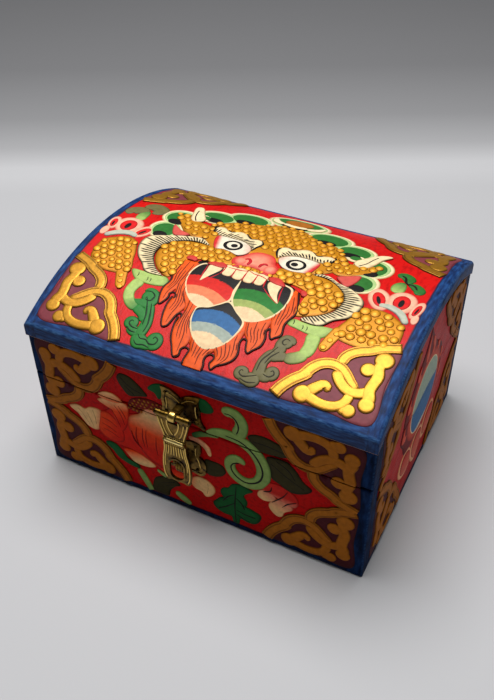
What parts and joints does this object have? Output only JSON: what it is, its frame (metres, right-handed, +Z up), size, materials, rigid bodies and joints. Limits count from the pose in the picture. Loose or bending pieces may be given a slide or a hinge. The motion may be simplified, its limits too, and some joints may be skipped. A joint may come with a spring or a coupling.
{
  "type": "painted arched-lid keepsake chest",
  "caption": "Small wooden chest with a hinged arched lid, raised painted ornament on a red ground, blue edges and a swinging brass hasp over a staple on the front.",
  "frame": {"origin": "on the floor, under the middle of the boards' footprint", "axes": "+X to the chest's right as seen from its front, -Y out of the front, +Z up"},
  "size_m": [0.2, 0.1706, 0.1249],
  "materials": {
    "painted_wood": "red paint over gesso, raised painted ornament, satin varnish",
    "plain_wood": "plain sanded wood",
    "aged_brass": "antique brass, dark in the hollows and bright on the ridges",
    "hinge_brass": "plain brass"
  },
  "bodies": {
    "base": {"base_front_board": "painted_wood", "base_back_board": "painted_wood", "base_left_board": "painted_wood", "base_right_board": "painted_wood", "base_bottom_board": "plain_wood", "staple_plate": "aged_brass", "latch_staple": "aged_brass", "staple_plate_nails": "aged_brass", "left_hinge_base_leaf": "hinge_brass", "right_hinge_base_leaf": "hinge_brass", "left_hinge_pin": "hinge_brass", "right_hinge_pin": "hinge_brass", "hinge_base_screws": "hinge_brass"},
    "lid": {"lid_front_board": "painted_wood", "lid_back_board": "painted_wood", "lid_left_end": "painted_wood", "lid_right_end": "painted_wood", "lid_top_panel": "painted_wood", "hasp_plate": "aged_brass", "hasp_eye": "aged_brass", "hasp_plate_nails": "aged_brass", "left_hinge_lid_leaf": "hinge_brass", "right_hinge_lid_leaf": "hinge_brass", "hinge_lid_screws": "hinge_brass", "lion_head_relief": "painted_wood", "front_left_scroll_relief": "painted_wood", "front_right_scroll_relief": "painted_wood", "back_left_scroll_relief": "painted_wood", "back_right_scroll_relief": "painted_wood"},
    "hasp": {"hasp": "aged_brass", "hasp_pin": "aged_brass"}
  },
  "joints": [
    {"name": "lid_hinge", "type": "hinge", "parent": "base", "child": "lid", "pos_m": [0, 0.0769, 0.06905], "axis": [-1, 0, 0], "range_deg": [0, 105]},
    {"name": "hasp_swing", "type": "hinge", "parent": "lid", "child": "hasp", "pos_m": [-0.0044, -0.0885, 0.0825], "axis": [-1, 0, 0], "range_deg": [-7.5, 165]}
  ]
}
